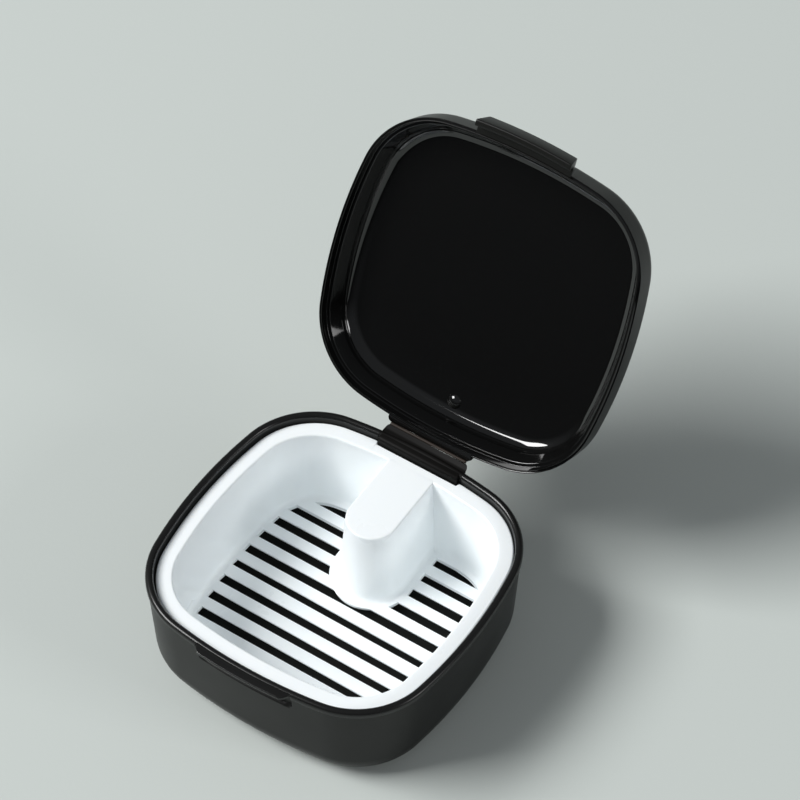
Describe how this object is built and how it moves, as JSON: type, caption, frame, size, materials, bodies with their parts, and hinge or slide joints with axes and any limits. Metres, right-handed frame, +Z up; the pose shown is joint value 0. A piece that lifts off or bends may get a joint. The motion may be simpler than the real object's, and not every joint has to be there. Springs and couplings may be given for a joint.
{
  "type": "denture case",
  "caption": "Flip-top denture case with rounded square tub, hinged lid with catch tab, and lift-out slotted basket with a finger grip.",
  "frame": {"origin": "middle of the flat underside of the base tub", "axes": "+X to the right across the case, +Y from the catch towards the hinge, +Z up; the lid is stored standing open about 120 degrees from closed"},
  "size_m": [0.085, 0.1355, 0.1094],
  "materials": {
    "black_plastic": "satin",
    "hinge_plastic": "satin",
    "white_plastic": "satin gloss"
  },
  "bodies": {
    "base": {"base_tub": "black_plastic", "hinge_web": "hinge_plastic"},
    "lid": {"lid_shell": "black_plastic"},
    "basket": {"basket": "white_plastic"}
  },
  "joints": [
    {"name": "lid_hinge", "type": "hinge", "parent": "base", "child": "lid", "pos_m": [0, 0.04295, 0.03255], "axis": [-1, 0, 0], "range_deg": [-120.35, 59.65]},
    {"name": "basket_lift", "type": "slide", "parent": "base", "child": "basket", "axis": [0, 0, 1], "range_m": [0, 0.06]}
  ]
}
